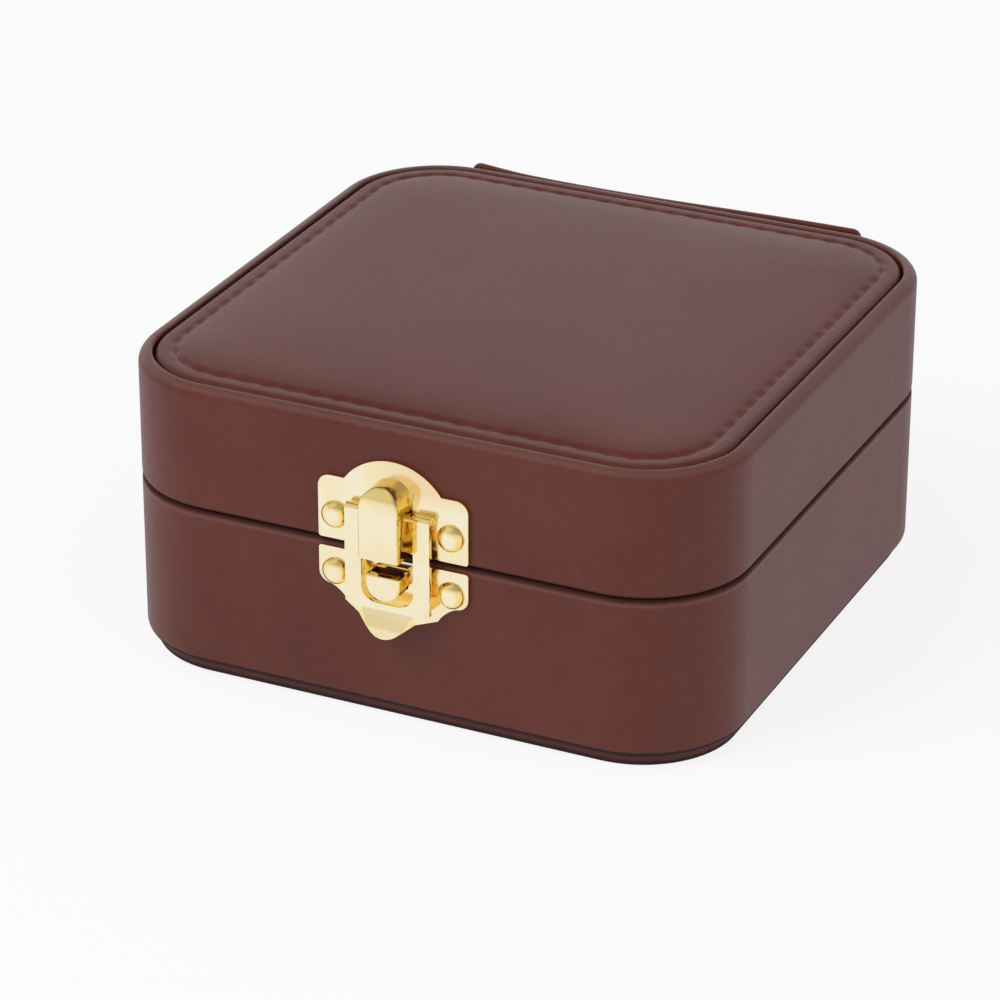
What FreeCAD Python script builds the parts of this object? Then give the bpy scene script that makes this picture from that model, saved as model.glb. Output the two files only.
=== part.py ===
import FreeCAD, Part
import math
import operator
import os
import Sketcher
from FreeCAD import Placement, Rotation, Vector

# Cufflink box with a hinged, padded lid and a swinging hasp.  Millimetres, +Z up, the front faces -Y.
# The origin is the middle of the underside, on the surface that the box stands on.

ROLL_COUNT = 5
EDGE_MATCH = 1e-5
CUT_MARGIN = 1.0

DIMENSIONS = [
    # the two shells
    ("box_width", 100.0, "left to right over the wrapped walls"),
    ("box_depth", 100.0, "front to back over the wrapped walls"),
    ("corner_radius", 17.0, "outer radius of the four upright corners"),
    ("base_top", 28.4, "height of the base's upper edge"),
    ("seam_gap", 0.2, "gap between the closed shells"),
    ("rim_top", 48.8, "height of the lid's rim"),
    ("wall_thickness", 2.2, "board and wrap together"),
    ("wrap_thickness", 0.6, "leatherette round the boards"),
    ("rim_round", 1.8, "outer rounding of the lid's rim"),
    ("rim_inner_round", 0.3, "rounding beside the groove"),
    ("seam_round", 0.8, "rounding of both edges at the seam"),
    ("foot_round", 1.8, "rounding of the base wall's lower edge"),
    # underside and floor
    ("bottom_thickness", 1.8, "wrapped board under the base"),
    ("bottom_inset", 1.6, "how far the bottom board stands back"),
    ("bottom_round", 0.6, "rounding of the bottom board's lower edge"),
    ("floor_thickness", 2.0, "board inside the base wall"),
    ("floor_lining_thickness", 1.2, "velvet card on the floor"),
    # inner collar, dividers and rolls
    ("collar_clearance", 0.35, "between the collar and the walls"),
    ("collar_thickness", 1.4, "velvet card round the inside"),
    ("collar_rise", 3.0, "how far the collar stands above the base"),
    ("collar_round", 0.5, "rounding of the collar's top edges"),
    ("lid_lining_clearance", 0.5, "above the collar in the closed box"),
    ("divider_thickness", 1.6, "velvet-covered card"),
    ("divider_height", 15.0, "above the floor lining"),
    ("divider_place", 9.0, "front face of the long divider, from the centre"),
    ("roll_height", 12.0, "cufflink roll above the floor lining"),
    ("roll_gap", 0.2, "slot between two rolls"),
    # lid panel
    ("groove_width", 0.5, "between the rim and the panel"),
    ("panel_drop", 0.1, "stitched border below the rim"),
    ("panel_cover_thickness", 0.8, "leatherette over the panel"),
    ("panel_edge_round", 0.7, "rounding of the panel's upper edge"),
    ("panel_board_thickness", 2.0, "board in the panel"),
    ("stitched_border", 3.2, "flat border of the panel, groove to stitching"),
    ("crown_rise", 1.3, "padding above the stitched border"),
    ("crown_slope", 9.0, "width of the padding's slope"),
    ("crown_corner", 6.0, "corner radius of the padding's flat top"),
    ("lid_pad_thickness", 3.0, "velvet pad under the panel"),
    ("lid_lining_thickness", 1.4, "velvet card round the inside of the lid"),
    # leather hinge strip
    ("strip_width", 70.0, "along the back"),
    ("strip_thickness", 1.0, "folded leatherette"),
    ("strip_top_drop", 0.2, "upper edge below the lid's rim"),
    ("strip_down", 17.1, "below the hinge line"),
    ("strip_corner", 1.5, "corner radius"),
    ("strip_fold_gap", 0.4, "between the two glued halves"),
    # latch plates
    ("plate_half_width", 12.4, "both latch plates"),
    ("plate_thickness", 0.6, "sheet brass"),
    ("upper_plate_lift", 0.4, "lower edge above the lid's edge"),
    ("upper_plate_ear", 10.4, "height of the ears"),
    ("upper_plate_shoulder", 8.0, "half width where the dome starts"),
    ("upper_plate_dome", 4.2, "rise of the dome above the ears"),
    ("ear_corner", 2.0, "outer corner radius of the ears"),
    ("plate_corner", 0.5, "corner radius at the seam"),
    ("lower_plate_drop", 0.8, "upper edge below the base's edge"),
    ("lower_plate_ear", 6.2, "height of the ears"),
    ("lower_plate_shoulder", 7.4, "half width where the point starts"),
    ("lower_plate_shoulder_drop", 8.8, "shoulder below the upper edge"),
    ("lower_plate_point", 10.8, "point below the upper edge"),
    ("lower_plate_tip", 2.2, "half width of the rounded point"),
    ("lower_plate_tip_radius", 3.0, "rounded point"),
    ("lower_plate_hollow", 6.0, "radius of the hollow side between ear and point"),
    # tongue, catch and pins
    ("tongue_half_width", 3.3, "cover over the hinge pin"),
    ("tongue_reach", 5.1, "in front of the plate"),
    ("tongue_drop", 0.5, "lower end above the plate's lower edge"),
    ("tongue_height", 11.5, "lower end to the top of the arch"),
    ("tongue_shoulder", 8.5, "lower end to where the front slopes back"),
    ("tongue_lean", 1.8, "how far the top of the arch stands back"),
    ("tongue_wall", 0.6, "sheet thickness"),
    ("tongue_edge_round", 0.45, "rounded edges of the cover"),
    ("catch_half_width", 2.9, "hook under the tongue"),
    ("catch_reach", 3.7, "in front of the plate"),
    ("catch_drop", 1.3, "upper face below the plate's upper edge"),
    ("catch_height", 4.2, "upper face to the rounded lower end"),
    ("catch_edge_round", 0.5, "rounded edges"),
    ("pin_spread", 9.6, "fixing pins from the middle"),
    ("upper_pin_height", 4.1, "above the upper plate's lower edge"),
    ("lower_pin_drop", 3.9, "below the lower plate's upper edge"),
    ("pin_head_radius", 2.2, "domed head"),
    ("pin_head_height", 0.95, "domed head"),
    ("pin_shank_radius", 0.7, "fixing pin in the board"),
    ("pin_length", 2.3, "under the head"),
    ("pin_hole_clearance", 0.03, "round the fixing pins"),
    # hasp
    ("hinge_pin_radius", 0.45, "pin through the tongue"),
    ("hinge_pin_height", 6.4, "above the upper plate's lower edge"),
    ("eye_clearance", 0.05, "running fit of the hasp on its pin"),
    ("eye_wall", 0.45, "hasp round its pin"),
    ("hasp_back_clearance", 0.15, "between the hasp's eyes and the plate"),
    ("hasp_half_width", 7.0, "over both legs"),
    ("hasp_window", 4.3, "half width between the legs"),
    ("hasp_thickness", 0.8, "legs"),
    ("hasp_window_length", 14.5, "pin to the bridge"),
    ("hasp_shoulder_length", 15.0, "pin to where the sides taper"),
    ("hasp_length", 19.4, "pin to the tip of the lip"),
    ("hasp_tip_half_width", 2.0, "rounded tip"),
    ("hasp_tip_rise", 0.6, "rounded tip"),
    ("hasp_straight", 13.7, "pin to where the lip starts to flare"),
    ("hasp_flare", 1.7, "how far the lip stands out"),
    ("hasp_window_round", 2.6, "lower corners of the window"),
    ("hinge_pin_inset", 0.1, "pin ends inside the legs"),
]


class Size:
    """A length from the sheet, or one worked out from several: its expression and its value."""

    def __init__(self, text, value):
        self.text = text
        self.value = value

    def __add__(self, other):
        return combined(self, "+", other)

    def __radd__(self, other):
        return combined(other, "+", self)

    def __sub__(self, other):
        return combined(self, "-", other)

    def __rsub__(self, other):
        return combined(other, "-", self)

    def __mul__(self, other):
        return combined(self, "*", other)

    def __rmul__(self, other):
        return combined(other, "*", self)

    def __truediv__(self, other):
        return combined(self, "/", other)

    def __neg__(self):
        return combined(0, "-", self)


OPERATIONS = {"+": operator.add, "-": operator.sub, "*": operator.mul, "/": operator.truediv}


def as_size(length):
    return length if isinstance(length, Size) else Size(f"{length}", float(length))


def combined(first, sign, second):
    first, second = as_size(first), as_size(second)
    return Size(f"({first.text} {sign} {second.text})", OPERATIONS[sign](first.value, second.value))


def make_sheet(document):
    sheet = document.addObject("Spreadsheet::Sheet", "dims")
    for row, (alias, value, note) in enumerate(DIMENSIONS, 1):
        sheet.set(f"A{row}", alias)
        sheet.set(f"B{row}", f"{value}")
        sheet.set(f"C{row}", note)
        sheet.setAlias(f"B{row}", alias)
    document.recompute()
    return {alias: Size(f"dims.{alias}", float(sheet.get(alias))) for alias, _, _ in DIMENSIONS}


doc = FreeCAD.newDocument("cufflink_box")
size = make_sheet(doc)

# heights and places that several pieces share
LID_BOTTOM = size["base_top"] + size["seam_gap"]
HINGE_HEIGHT = size["base_top"] + size["seam_gap"] / 2
WALL = size["wall_thickness"]
FLOOR_BOTTOM = size["bottom_thickness"]
FLOOR_TOP = FLOOR_BOTTOM + size["floor_thickness"]
LINING_TOP = FLOOR_TOP + size["floor_lining_thickness"]
COLLAR_INSET = WALL + size["collar_clearance"]
COLLAR_TOP = size["base_top"] + size["collar_rise"]
CAVITY_INSET = COLLAR_INSET + size["collar_thickness"]
PANEL_INSET = WALL + size["groove_width"]
PANEL_TOP = size["rim_top"] - size["panel_drop"]
BOARD_INSET = PANEL_INSET + size["panel_cover_thickness"]
BOARD_TOP = PANEL_TOP - size["panel_cover_thickness"]
BOARD_BOTTOM = BOARD_TOP - size["panel_board_thickness"]
CROWN_INSET = PANEL_INSET + size["stitched_border"]
LID_PAD_BOTTOM = BOARD_BOTTOM - size["lid_pad_thickness"]
LID_LINING_BOTTOM = COLLAR_TOP + size["lid_lining_clearance"]
FRONT = -size["box_depth"] / 2
PLATE_FRONT = FRONT - size["plate_thickness"]
UPPER_PLATE_BOTTOM = LID_BOTTOM + size["upper_plate_lift"]
LOWER_PLATE_TOP = size["base_top"] - size["lower_plate_drop"]
UPPER_PIN_Z = UPPER_PLATE_BOTTOM + size["upper_pin_height"]
LOWER_PIN_Z = LOWER_PLATE_TOP - size["lower_pin_drop"]
EYE_HOLE = size["hinge_pin_radius"] + size["eye_clearance"]
EYE_RADIUS = EYE_HOLE + size["eye_wall"]
PIN_Y = PLATE_FRONT - size["hasp_back_clearance"] - EYE_RADIUS
PIN_Z = UPPER_PLATE_BOTTOM + size["hinge_pin_height"]


# ---- small helpers -------------------------------------------------------------------------------

def bind(thing, name, length):
    thing.setExpression(name, as_size(length).text)


def new_body(label, x=0, y=0, z=0):
    body = doc.addObject("PartDesign::Body", label)
    body.Label = label
    body.Placement = Placement(Vector(*(as_size(length).value for length in (x, y, z))), Rotation())
    for axis, length in zip("xyz", (x, y, z)):
        if isinstance(length, Size):
            bind(body, f"Placement.Base.{axis}", length)
    return body


def new_sketch(body, name, plane, offset=0):
    """A sketch on one of the body's own planes, moved along the plane's normal (-Y for XZ)."""
    sketch = body.newObject("Sketcher::SketchObject", name)
    origin = next(item for item in body.Origin.OriginFeatures if item.Role == plane)
    sketch.AttachmentSupport = [(origin, "")]
    sketch.MapMode = "FlatFace"
    if isinstance(offset, Size):
        bind(sketch, "AttachmentOffset.Base.z", offset)
    return sketch


def fix(sketch, kind, geometry, point, length):
    """Ties a point to the sketch's axes: kind is DistanceX or DistanceY."""
    length = as_size(length)
    if abs(length.value) < EDGE_MATCH:
        axis = -2 if kind == "DistanceX" else -1
        sketch.addConstraint(Sketcher.Constraint("PointOnObject", geometry, point, axis))
        return
    row = sketch.addConstraint(Sketcher.Constraint(kind, -1, 1, geometry, point, length.value))
    bind(sketch, f"Constraints[{row}]", length)


def fix_radius(sketch, geometry, length):
    row = sketch.addConstraint(Sketcher.Constraint("Radius", geometry, as_size(length).value))
    bind(sketch, f"Constraints[{row}]", length)


def draw_circle(sketch, x, y, radius):
    centre = Vector(as_size(x).value, as_size(y).value, 0)
    circle = sketch.addGeometry(Part.Circle(centre, Vector(0, 0, 1), as_size(radius).value))
    fix(sketch, "DistanceX", circle, 3, x)
    fix(sketch, "DistanceY", circle, 3, y)
    fix_radius(sketch, circle, radius)


def arc_between(start, end, radius, turn):
    """The shorter arc of this radius; turn is 1 where it bends to the left and -1 to the right."""
    chord = end - start
    rise = math.sqrt(max(radius**2 - (chord.Length / 2) ** 2, 0))
    left = Vector(-chord.y, chord.x, 0).normalize()
    centre = (start + end) / 2 + left * rise * turn
    middle = centre - left * radius * turn
    return Part.Arc(start, middle, end)


def draw_outline(sketch, steps):
    """A closed outline.  Each step goes on to a point: (x, y) by a line, (x, y, radius, turn) by an arc."""
    points = [Vector(as_size(step[0]).value, as_size(step[1]).value, 0) for step in steps]
    first = None
    before = None
    for number, step in enumerate(steps):
        start, end = points[number - 1], points[number]
        curved = len(step) == 4
        if curved:
            edge = arc_between(start, end, as_size(step[2]).value, step[3])
        else:
            edge = Part.LineSegment(start, end)
        this = sketch.addGeometry(edge)
        turned = curved and step[3] < 0
        head, tail = (1, 2) if turned else (2, 1)
        fix(sketch, "DistanceX", this, head, step[0])
        fix(sketch, "DistanceY", this, head, step[1])
        if curved:
            fix_radius(sketch, this, step[2])
        if before is not None:
            sketch.addConstraint(Sketcher.Constraint("Coincident", before[0], before[1], this, tail))
        else:
            first = (this, tail)
        before = (this, head)
    sketch.addConstraint(Sketcher.Constraint("Coincident", before[0], before[1], *first))


def draw_rounded(sketch, half_x, half_y, radius, middle_y=0):
    """A rectangle with rounded corners, centred on the sketch's upright axis."""
    low, high = middle_y - half_y, middle_y + half_y
    draw_outline(sketch, [
        (half_x - radius, low),
        (half_x, low + radius, radius, 1),
        (half_x, high - radius),
        (half_x - radius, high, radius, 1),
        (radius - half_x, high),
        (-half_x, high - radius, radius, 1),
        (-half_x, low + radius),
        (radius - half_x, low, radius, 1),
    ])


def draw_shell_outline(sketch, inset):
    """The box's plan, stepped in from the outer faces."""
    half_x = size["box_width"] / 2 - inset
    half_y = size["box_depth"] / 2 - inset
    draw_rounded(sketch, half_x, half_y, size["corner_radius"] - inset)


def settle(feature):
    """Recomputes the model and makes sure that this feature came out."""
    doc.recompute()
    if "Invalid" in feature.State or "Error" in feature.State or feature.Shape.isNull():
        raise RuntimeError(f"{feature.Label} failed: {feature.State}")
    return feature


def pad(body, sketch, length, reverse=False, midplane=False):
    feature = body.newObject("PartDesign::Pad", f"{sketch.Name}_pad")
    feature.Profile = sketch
    bind(feature, "Length", length)
    feature.Reversed = reverse
    feature.Midplane = midplane
    return settle(feature)


def pocket(body, sketch, length, reverse=False, midplane=False):
    before = body.Shape.Volume
    feature = body.newObject("PartDesign::Pocket", f"{sketch.Name}_pocket")
    feature.Profile = sketch
    bind(feature, "Length", length)
    feature.Reversed = reverse
    feature.Midplane = midplane
    settle(feature)
    if not body.Shape.Volume < before - EDGE_MATCH:
        raise RuntimeError(f"{feature.Name} cuts nothing")
    return feature


def edge_names(shape, chosen):
    return [f"Edge{number}" for number, edge in enumerate(shape.Edges, 1) if chosen(edge)]


def level_loops(shape, height):
    """The outer and the inner edges of the level face at this height."""
    for face in shape.Faces:
        box = face.BoundBox
        if abs(box.ZMin - height) < EDGE_MATCH and abs(box.ZMax - height) < EDGE_MATCH:
            outer = face.OuterWire.Edges
            inner = [edge for edge in face.Edges if not any(edge.isSame(one) for one in outer)]
            return outer, inner
    raise RuntimeError(f"no level face at {height}")


def round_edges(body, name, names, radius):
    base = body.Tip
    feature = body.newObject("PartDesign::Fillet", name)
    feature.Base = (base, names)
    bind(feature, "Radius", radius)
    return settle(feature)


def round_level(body, name, height, radius, outer=True):
    """Rounds the outer, or else the inner, edges of the level face at this height in the body."""
    shape = body.Tip.Shape
    loops = level_loops(shape, as_size(height).value)
    loop = loops[0] if outer else loops[1]
    names = edge_names(shape, lambda edge: any(edge.isSame(one) for one in loop))
    return round_edges(body, name, names, radius)


def cut(label, base, tool):
    feature = doc.addObject("Part::Cut", label)
    feature.Label = label
    feature.Base = base
    feature.Tool = tool
    return settle(feature)


def arc_radius(half_chord, rise):
    """Radius of an arc from half its chord and its rise."""
    return (half_chord * half_chord + rise * rise) / (2 * rise)


# ---- plates and rings that follow the box's plan -------------------------------------------------

def shell_plate(label, inset, bottom, top):
    body = new_body(label, z=bottom)
    sketch = new_sketch(body, f"{label}_plan", "XY_Plane")
    draw_shell_outline(sketch, inset)
    pad(body, sketch, top - bottom)
    return body


def shell_ring(label, outer_inset, inner_inset, bottom, top):
    body = new_body(label, z=bottom)
    sketch = new_sketch(body, f"{label}_plan", "XY_Plane")
    draw_shell_outline(sketch, outer_inset)
    draw_shell_outline(sketch, inner_inset)
    pad(body, sketch, top - bottom)
    return body


def drill_for_pins(body, height):
    """Blind holes for the latch's two fixing pins, from the front face of the wall."""
    sketch = new_sketch(body, f"{body.Label}_pin_holes", "XZ_Plane", size["box_depth"] / 2)
    for side in (-1, 1):
        radius = size["pin_shank_radius"] + size["pin_hole_clearance"]
        draw_circle(sketch, size["pin_spread"] * side, height, radius)
    pocket(body, sketch, size["pin_length"] - size["plate_thickness"])


def wall_pieces(name, bottom, top, pin_height):
    """A board frame and the body from which its leatherette wrap is cut, both drilled."""
    wrap = size["wrap_thickness"]
    frame = shell_ring(f"{name}_frame", wrap, WALL, bottom + wrap, top - wrap)
    blank = shell_ring(f"{name}_wrap_blank", 0, WALL, bottom, top)
    drill_for_pins(frame, pin_height - bottom - wrap)
    drill_for_pins(blank, pin_height - bottom)
    return frame, blank


# ---- base ----------------------------------------------------------------------------------------

def base_wall():
    frame, blank = wall_pieces("base", FLOOR_BOTTOM, size["base_top"], LOWER_PIN_Z)
    round_level(frame, "base_frame_foot", 0, size["foot_round"] - size["wrap_thickness"])
    round_level(blank, "base_wrap_foot", 0, size["foot_round"])
    round_level(blank, "base_wrap_seam", size["base_top"] - FLOOR_BOTTOM, size["seam_round"])
    return [frame, cut("base_wrap", blank, frame)]


def base_boards():
    bottom = shell_plate("bottom_cover", size["bottom_inset"], as_size(0), FLOOR_BOTTOM)
    round_level(bottom, "bottom_cover_edge", 0, size["bottom_round"])
    floor = shell_plate("floor_board", WALL, FLOOR_BOTTOM, FLOOR_TOP)
    lining = shell_plate("floor_lining", CAVITY_INSET, FLOOR_TOP, LINING_TOP)
    return [bottom, floor, lining]


def base_collar():
    collar = shell_ring("base_collar", COLLAR_INSET, CAVITY_INSET, FLOOR_TOP, COLLAR_TOP)
    top = COLLAR_TOP - FLOOR_TOP
    round_level(collar, "collar_outer_edge", top, size["collar_round"])
    round_level(collar, "collar_inner_edge", top, size["collar_round"], outer=False)
    return [collar]


def card(label, corner, lengths):
    """A straight piece of card: its low corner and its three lengths."""
    box = doc.addObject("Part::Box", label)
    box.Label = label
    for name, length in zip(("Length", "Width", "Height"), lengths):
        bind(box, name, length)
    for axis, length in zip("xyz", corner):
        bind(box, f"Placement.Base.{axis}", length)
    return settle(box)


def dividers():
    thickness, height = size["divider_thickness"], size["divider_height"]
    side = size["box_width"] / 2 - CAVITY_INSET
    back = size["box_depth"] / 2 - CAVITY_INSET
    place = size["divider_place"]
    behind = place + thickness
    long_one = card("long_divider", (-side, place, LINING_TOP), (side * 2, thickness, height))
    cross = card("cross_divider", (-thickness / 2, behind, LINING_TOP), (thickness, back - behind, height))
    return [long_one, cross]


def cufflink_rolls():
    """Soft rolls side by side; their ends follow the rounded corners of the collar."""
    front = CAVITY_INSET - size["box_depth"] / 2
    pitch = (size["divider_place"] - front) / ROLL_COUNT
    half = (pitch - size["roll_gap"]) / 2
    top = size["roll_height"]
    bed = shell_plate("roll_bed", CAVITY_INSET, LINING_TOP, LINING_TOP + top)
    rolls = []
    for number in range(ROLL_COUNT):
        body = new_body(f"roll_blank_{number + 1}", y=front + pitch * (number + 0.5), z=LINING_TOP)
        sketch = new_sketch(body, f"roll_section_{number + 1}", "YZ_Plane")
        draw_outline(sketch, [
            (-half, 0),
            (half, 0),
            (half, top - half),
            (0, top, half, 1),
            (-half, top - half, half, 1),
        ])
        pad(body, sketch, size["box_width"] - CAVITY_INSET * 2, midplane=True)
        label = f"cufflink_roll_{number + 1}"
        roll = doc.addObject("Part::Common", label)
        roll.Label = label
        roll.Base = body
        roll.Tool = bed
        rolls.append(settle(roll))
    return rolls


# ---- lid -----------------------------------------------------------------------------------------

def lid_wall():
    frame, blank = wall_pieces("lid", LID_BOTTOM, size["rim_top"], UPPER_PIN_Z)
    height = size["rim_top"] - LID_BOTTOM
    wrap = size["wrap_thickness"]
    round_level(frame, "lid_frame_rim", height - wrap * 2, size["rim_round"] - wrap)
    round_level(blank, "lid_wrap_rim", height, size["rim_round"])
    round_level(blank, "lid_wrap_groove", height, size["rim_inner_round"], outer=False)
    round_level(blank, "lid_wrap_seam", 0, size["seam_round"])
    return [frame, cut("lid_wrap", blank, frame)]


def add_crown(body, name, height):
    """The padding's slope and flat top, lofted from the stitched line."""
    low = new_sketch(body, f"{name}_line", "XY_Plane", height)
    draw_shell_outline(low, CROWN_INSET)
    high = new_sketch(body, f"{name}_top", "XY_Plane", height + size["crown_rise"])
    inset = CROWN_INSET + size["crown_slope"]
    half_x, half_y = size["box_width"] / 2 - inset, size["box_depth"] / 2 - inset
    draw_rounded(high, half_x, half_y, size["crown_corner"])
    loft = body.newObject("PartDesign::AdditiveLoft", f"{name}_loft")
    loft.Profile = low
    loft.Sections = [high]
    loft.Ruled = True
    settle(loft)


def lid_panel():
    """Board, foam and the stitched leatherette cover drawn round both."""
    board = shell_plate("panel_board", BOARD_INSET, BOARD_BOTTOM, BOARD_TOP)
    foam = new_body("panel_foam", z=BOARD_TOP)
    add_crown(foam, "foam", as_size(0))
    blank = shell_plate("panel_cover_blank", PANEL_INSET, BOARD_BOTTOM, PANEL_TOP)
    round_level(blank, "panel_cover_edge", PANEL_TOP - BOARD_BOTTOM, size["panel_edge_round"])
    add_crown(blank, "cover", PANEL_TOP - BOARD_BOTTOM)
    over_board = cut("panel_cover_over_board", blank, board)
    return [board, foam, cut("panel_cover", over_board, foam)]


def lid_inside():
    lid_pad = shell_plate("lid_pad", WALL, LID_PAD_BOTTOM, BOARD_BOTTOM)
    inner = WALL + size["lid_lining_thickness"]
    lining = shell_ring("lid_lining", WALL, inner, LID_LINING_BOTTOM, LID_PAD_BOTTOM)
    return [lid_pad, lining]


# ---- leather hinge -------------------------------------------------------------------------------

def hinge_strip(label, reach, direction):
    """Half of the hinge strip, from the fold up (direction 1) or down (-1) the back."""
    body = new_body(label, y=size["box_depth"] / 2, z=HINGE_HEIGHT)
    half, corner = size["strip_width"] / 2, size["strip_corner"]
    fold = size["strip_fold_gap"] / 2 * direction
    end = reach * direction
    bend = end - corner * direction
    sketch = new_sketch(body, f"{label}_face", "XZ_Plane")
    draw_outline(sketch, [
        (half, fold),
        (half, bend),
        (half - corner, end, corner, direction),
        (corner - half, end),
        (-half, bend, corner, direction),
        (-half, fold),
    ])
    pad(body, sketch, size["strip_thickness"], reverse=True)
    return body


def hinge_strips():
    reach = size["rim_top"] - size["strip_top_drop"] - HINGE_HEIGHT
    upper = hinge_strip("hinge_strip_lid", reach, 1)
    lower = hinge_strip("hinge_strip_base", size["strip_down"], -1)
    return [lower, upper]


# ---- latch ---------------------------------------------------------------------------------------

def plate_pin_holes(body, height):
    sketch = new_sketch(body, f"{body.Label}_holes", "XZ_Plane", size["plate_thickness"])
    for side in (-1, 1):
        radius = size["pin_shank_radius"] + size["pin_hole_clearance"]
        draw_circle(sketch, size["pin_spread"] * side, height, radius)
    pocket(body, sketch, size["plate_thickness"])


def upper_plate():
    """The lid's latch plate, with the tongue that is raised from it to hold the hasp's pin."""
    body = new_body("latch_upper_plate", y=FRONT, z=UPPER_PLATE_BOTTOM)
    half, ear, shoulder = size["plate_half_width"], size["upper_plate_ear"], size["upper_plate_shoulder"]
    corner, bend = size["plate_corner"], size["ear_corner"]
    dome = arc_radius(shoulder, size["upper_plate_dome"])
    sketch = new_sketch(body, "upper_plate_outline", "XZ_Plane")
    draw_outline(sketch, [
        (half - corner, 0),
        (half, corner, corner, 1),
        (half, ear - bend),
        (half - bend, ear, bend, 1),
        (shoulder, ear),
        (-shoulder, ear, dome, 1),
        (bend - half, ear),
        (-half, ear - bend, bend, 1),
        (-half, corner),
        (corner - half, 0, corner, 1),
    ])
    pad(body, sketch, size["plate_thickness"])
    plate_pin_holes(body, size["upper_pin_height"])
    raise_tongue(body)
    return body


def raise_tongue(body):
    half, low = size["tongue_half_width"], size["tongue_drop"]
    high = low + size["tongue_height"]
    shoulder = low + size["tongue_shoulder"]
    reach = size["plate_thickness"] + size["tongue_reach"]
    arch = new_sketch(body, "tongue_outline", "XZ_Plane")
    draw_outline(arch, [
        (-half, low),
        (half, low),
        (half, high - half),
        (0, high, half, 1),
        (-half, high - half, half, 1),
    ])
    pad(body, arch, reach)

    # the front bends back to the plate above the shoulder
    lean = size["tongue_lean"]
    bend = arc_radius(high - shoulder, lean)
    slope = new_sketch(body, "tongue_bend", "YZ_Plane")
    draw_outline(slope, [
        (-reach - CUT_MARGIN, shoulder),
        (-reach, shoulder),
        (lean - reach, high, bend, -1),
        (lean - reach, high + CUT_MARGIN),
        (-reach - CUT_MARGIN, high + CUT_MARGIN),
    ])
    pocket(body, slope, half * 2 + CUT_MARGIN, midplane=True)

    front, floor, plate = reach.value, low.value, size["plate_thickness"].value
    wide = half.value

    def is_front_edge(edge):
        middle = edge.valueAt((edge.FirstParameter + edge.LastParameter) / 2)
        raised = middle.y < -plate - (front - plate) / 3
        return raised and abs(middle.x) > wide / 3 and middle.z > floor + EDGE_MATCH

    round_edges(body, "tongue_edges", edge_names(body.Tip.Shape, is_front_edge), size["tongue_edge_round"])

    wall = size["tongue_wall"]
    hollow = new_sketch(body, "tongue_hollow", "XY_Plane", low)
    draw_outline(hollow, [
        (half - wall, wall - reach),
        (half - wall, -size["plate_thickness"]),
        (wall - half, -size["plate_thickness"]),
        (wall - half, wall - reach),
    ])
    pocket(body, hollow, size["tongue_shoulder"], reverse=True)

    pin = new_sketch(body, "tongue_pin_hole", "YZ_Plane")
    draw_circle(pin, PIN_Y - FRONT, size["hinge_pin_height"], size["hinge_pin_radius"])
    pocket(body, pin, half * 2 + CUT_MARGIN, midplane=True)


def lower_plate():
    """The base's latch plate, with the catch that the hasp hooks under."""
    body = new_body("latch_lower_plate", y=FRONT, z=LOWER_PLATE_TOP)
    half, ear = size["plate_half_width"], -size["lower_plate_ear"]
    corner, bend = size["plate_corner"], size["ear_corner"]
    shoulder, shoulder_z = size["lower_plate_shoulder"], -size["lower_plate_shoulder_drop"]
    tip, point, hollow = size["lower_plate_tip"], -size["lower_plate_point"], size["lower_plate_hollow"]
    sketch = new_sketch(body, "lower_plate_outline", "XZ_Plane")
    draw_outline(sketch, [
        (tip, point, size["lower_plate_tip_radius"], 1),
        (shoulder, shoulder_z),
        (half - bend, ear, hollow, -1),
        (half, ear + bend, bend, 1),
        (half, -corner),
        (half - corner, 0, corner, 1),
        (corner - half, 0),
        (-half, -corner, corner, 1),
        (-half, ear + bend),
        (bend - half, ear, bend, 1),
        (-shoulder, shoulder_z, hollow, -1),
        (-tip, point),
    ])
    pad(body, sketch, size["plate_thickness"])
    plate_pin_holes(body, -size["lower_pin_drop"])
    raise_catch(body)
    return body


def raise_catch(body):
    half, high = size["catch_half_width"], -size["catch_drop"]
    low = high - size["catch_height"]
    outline = new_sketch(body, "catch_outline", "XZ_Plane")
    draw_outline(outline, [
        (-half, low + half),
        (0, low, half, 1),
        (half, low + half, half, 1),
        (half, high),
        (-half, high),
    ])
    reach = size["plate_thickness"] + size["catch_reach"]
    pad(body, outline, reach)
    front = -reach.value
    names = edge_names(body.Tip.Shape, lambda edge: abs(edge.BoundBox.YMax - front) < EDGE_MATCH)
    round_edges(body, "catch_edges", names, size["catch_edge_round"])


def fixing_pins(label, height):
    """Two domed pins, one each side, as one group of separate solids."""
    body = new_body(f"{label}_right", x=size["pin_spread"], y=FRONT, z=height)
    plate, radius = size["plate_thickness"], size["pin_shank_radius"]
    head, rise = size["pin_head_radius"], size["pin_head_height"]
    end = size["pin_length"] - plate
    sketch = new_sketch(body, f"{label}_section", "YZ_Plane")
    draw_outline(sketch, [
        (end, 0),
        (end - radius, radius),
        (-plate, radius),
        (-plate, head),
        (-plate - rise, 0, arc_radius(head, rise), 1),
    ])
    turned = body.newObject("PartDesign::Revolution", f"{label}_turned")
    turned.Profile = sketch
    turned.ReferenceAxis = (sketch, ["H_Axis"])
    turned.Angle = 360
    settle(turned)
    other = doc.addObject("Part::Mirroring", f"{label}_left")
    other.Source = body
    other.Normal = Vector(1, 0, 0)
    pair = doc.addObject("Part::Compound", label)
    pair.Label = label
    pair.Links = [body, other]
    return settle(pair)


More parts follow.
